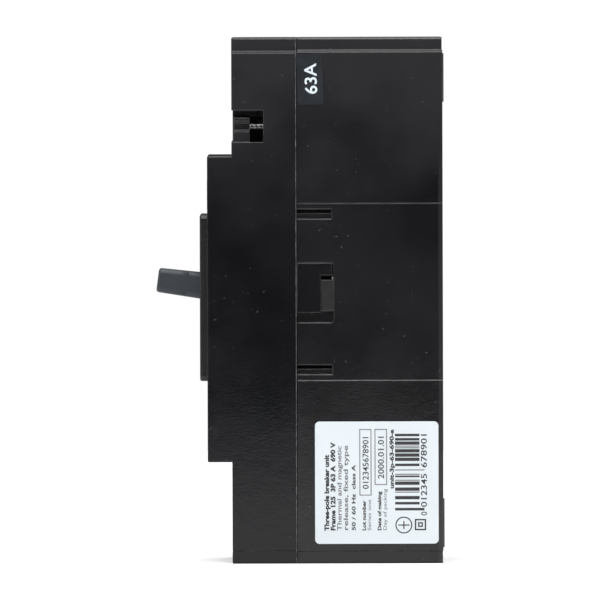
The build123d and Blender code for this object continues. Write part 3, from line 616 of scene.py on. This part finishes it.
def side_label_print():
    """Text, boxes, bar code and symbols of the white side label, read from below upwards."""
    low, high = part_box("side_label")
    origin = (high.x + PRINT_GAP, low.y, low.z)
    black = Print(origin, (0, 0, 1), (0, -1, 0))
    grey = Print(origin, (0, 0, 1), (0, -1, 0))
    left = 3.25
    black.text("Three-pole breaker unit", left, -3.4, 1.08, 18.8, 0.050)
    black.text("Frame 125  3P 63 A  690 V", left, -4.95, 1.08, 21.8, 0.050)
    grey.text("Thermal and magnetic", left, -6.5, 1.08, 20.9, 0.022)
    grey.text("release, fixed type", left, -8.1, 1.08, 20.9, 0.022)
    black.text("50 / 60 Hz  class A", left, -9.95, 0.90, 16.2, 0.030)
    right = 28.35
    grey.outline(11.9, right, -13.95, -10.95, 0.24)
    grey.outline(14.5, right, -17.80, -14.7, 0.24)
    black.text("012345678901", 13.5, -13.2, 1.46, 12.8, 0.012)
    black.text("2000.01.01", 16.0, -17.0, 1.46, 10.4, 0.012)
    black.text("Lot number", left, -12.5, 0.86, 7.4, 0.040)
    grey.text("Series one", left, -13.8, 0.84, 7.6, 0.010)
    black.text("Date of making", left, -16.3, 0.86, 9.6, 0.040)
    grey.text("Day of packing", left, -17.65, 0.84, 10.2, 0.010)
    black.text("unit-3p-63-690-a", 13.6, -19.4, 0.96, 14.6, 0.045)
    barcode(black, 8.2, 28.2, -19.75, -25.8, -27.0, 11)
    black.text("0", 6.9, -27.6, 1.46, bold=0.012)
    black.text("012345", 9.0, -27.6, 1.46, 8.2, 0.012)
    black.text("678901", 18.7, -27.6, 1.46, 8.2, 0.012)
    black.ring(4.6, -21.9, 2.1, 0.30)
    black.bar(4.45, 4.75, -23.3, -20.5)
    black.bar(3.6, 5.6, -22.05, -21.75)
    black.outline(3.3, 6.1, -27.4, -24.6, 0.36)
    black.outline(4.1, 5.3, -26.6, -25.4, 0.34)
    black.make("side_label_print", BLACK_INK)
    grey.make("side_label_fine_print", GREY_INK)


def rating_sticker_print():
    low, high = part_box("rating_sticker")
    tilt = math.radians(STICKER_TILT)
    middle = (high.x + PRINT_GAP, (low.y + high.y) / 2, (low.z + high.z) / 2)
    sheet = Print(middle, (0, -math.sin(tilt), math.cos(tilt)), (0, -math.cos(tilt), -math.sin(tilt)))
    sheet.text("63A", -3.75, -1.65, 2.95, 7.5, 0.012)
    sheet.make("rating_sticker_print", PALE_INK)


def front_print():
    """Rating table on the front label, and the I and O marks beside the handle slot."""
    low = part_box("front_label")[0]
    sheet = Print((low.x, low.y - PRINT_GAP, low.z), (1, 0, 0), (0, 0, 1))
    sheet.text("63 A", 1.6, 2.1, 3.4, 10.5, 0.02)
    for row, words in enumerate(("690 V  50/60 Hz", "Icu 25 kA   Ics 19 kA", "3 poles   cat. A")):
        sheet.text(words, 15.0, 5.5 - 1.95 * row, 1.05, 15.0)
    sheet.outline(33.0, 43.0, 0.9, 6.7, 0.15)
    sheet.text("40 C", 34.2, 2.9, 1.9, 7.4)
    sheet.make("front_label_print", BLACK_INK)
    door_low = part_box("accessory_cover")[0]
    marks = Print((0, door_low.y - PRINT_GAP, 0), (1, 0, 0), (0, 0, 1))
    marks.bar(-0.35, 0.35, 17.3, 20.1)
    marks.ring(0, -18.6, 1.25, 0.45)
    marks.make("handle_marks", PALE_INK)


side_label_print()
rating_sticker_print()
front_print()


# --- stage, light and camera ---

def floor_disc():
    """Round matt white board, with a faint glow that grows outwards and keeps it white."""
    bpy.ops.mesh.primitive_circle_add(vertices=128, radius=FLOOR_RADIUS, fill_type="NGON",
                                      location=(0, -0.03, -TOP))
    floor = bpy.context.object
    floor.name = "floor"
    s = Shader("floor board")
    grain = s.noise(40.0, 4.0)
    s.set("Base Color", s.blend(grain, (0.86, 0.86, 0.86), (0.89, 0.89, 0.89)))
    s.set("Roughness", s.ramp(grain, 0.3, 0.7, 0.80, 0.90))
    reach = s.add("ShaderNodeVectorMath", operation="LENGTH")
    s.join(s.place, reach.inputs[0])
    s.fixed(Emission_Color=(1.0, 1.0, 1.0, 1.0))
    s.set("Emission Strength", s.ramp(reach.outputs["Value"], 0.15, 0.9, 0.30, 0.50))
    floor.data.materials.append(s.material)


def studio_world():
    """White to the eye, but a soft dome that is brighter overhead for the light."""
    world = bpy.data.worlds.new("studio")
    bpy.context.scene.world = world
    world.use_nodes = True
    tree = world.node_tree
    tree.nodes.clear()
    place = tree.nodes.new("ShaderNodeTexCoord")
    split = tree.nodes.new("ShaderNodeSeparateXYZ")
    tree.links.new(place.outputs["Generated"], split.inputs[0])
    rise = tree.nodes.new("ShaderNodeMapRange")
    rise.interpolation_type = "SMOOTHSTEP"
    tree.links.new(split.outputs["Z"], rise.inputs["Value"])
    for name, value in (("From Min", 0.05), ("From Max", 0.85), ("To Min", 0.06), ("To Max", 0.85)):
        rise.inputs[name].default_value = value
    dome = tree.nodes.new("ShaderNodeBackground")
    tree.links.new(rise.outputs["Result"], dome.inputs["Strength"])
    seen = tree.nodes.new("ShaderNodeBackground")
    seen.inputs["Color"].default_value = (1.0, 1.0, 1.0, 1.0)
    seen.inputs["Strength"].default_value = 1.02
    choose = tree.nodes.new("ShaderNodeMixShader")
    rays = tree.nodes.new("ShaderNodeLightPath")
    tree.links.new(rays.outputs["Is Camera Ray"], choose.inputs[0])
    tree.links.new(dome.outputs[0], choose.inputs[1])
    tree.links.new(seen.outputs[0], choose.inputs[2])
    output = tree.nodes.new("ShaderNodeOutputWorld")
    tree.links.new(choose.outputs[0], output.inputs["Surface"])


def softbox(name, place, target, width, height, watts):
    """Rectangular lamp aimed at the target and hidden from the camera."""
    data = bpy.data.lights.new(name, "AREA")
    data.shape = "RECTANGLE"
    data.size = width
    data.size_y = height
    data.energy = watts
    light = bpy.data.objects.new(name, data)
    light.location = place
    light.rotation_mode = "QUATERNION"
    light.rotation_quaternion = (Vector(target) - Vector(place)).to_track_quat("-Z", "Y")
    light.visible_camera = False
    bpy.context.scene.collection.objects.link(light)


def lights():
    centre = (0, -0.03, 0)
    softbox("overhead", (0.15, -0.1, 1.4), centre, 1.0, 1.0, 15)
    softbox("key", (1.15, -0.12, 1.0), centre, 0.6, 0.6, 10)
    softbox("fill", (1.0, 0.95, 0.65), centre, 0.7, 0.7, 3.5)
    softbox("front_strip", (0.1, -1.2, 0.15), centre, 0.3, 1.1, 4)
    softbox("rear_strip", (0.1, 1.2, 0.15), centre, 0.3, 1.1, 4)


def camera():
    """Long lens from far away and slightly above, square to the breaker's side."""
    pixels_per_mm = 4.05
    picture_pixels = 600
    reach = 6.0
    height = 0.075
    roll = math.radians(-0.16)
    aim = Vector((SIDE, -35.6 * MM, 0.15 * MM))
    data = bpy.data.cameras.new("camera")
    view = bpy.data.objects.new("camera", data)
    bpy.context.scene.collection.objects.link(view)
    view.location = aim + Vector((reach, 0, height))
    turn = (aim - view.location).to_track_quat("-Z", "Y").to_matrix().to_4x4()
    view.matrix_world = Matrix.Translation(view.location) @ turn @ Matrix.Rotation(roll, 4, "Z")
    data.sensor_width = 36.0
    data.lens = data.sensor_width * reach / (picture_pixels / pixels_per_mm * MM)
    data.clip_start = 1.0
    data.clip_end = 20.0
    bpy.context.scene.camera = view


springs_and_braids()
floor_disc()
studio_world()
lights()
camera()
bpy.context.scene.view_settings.view_transform = "Standard"
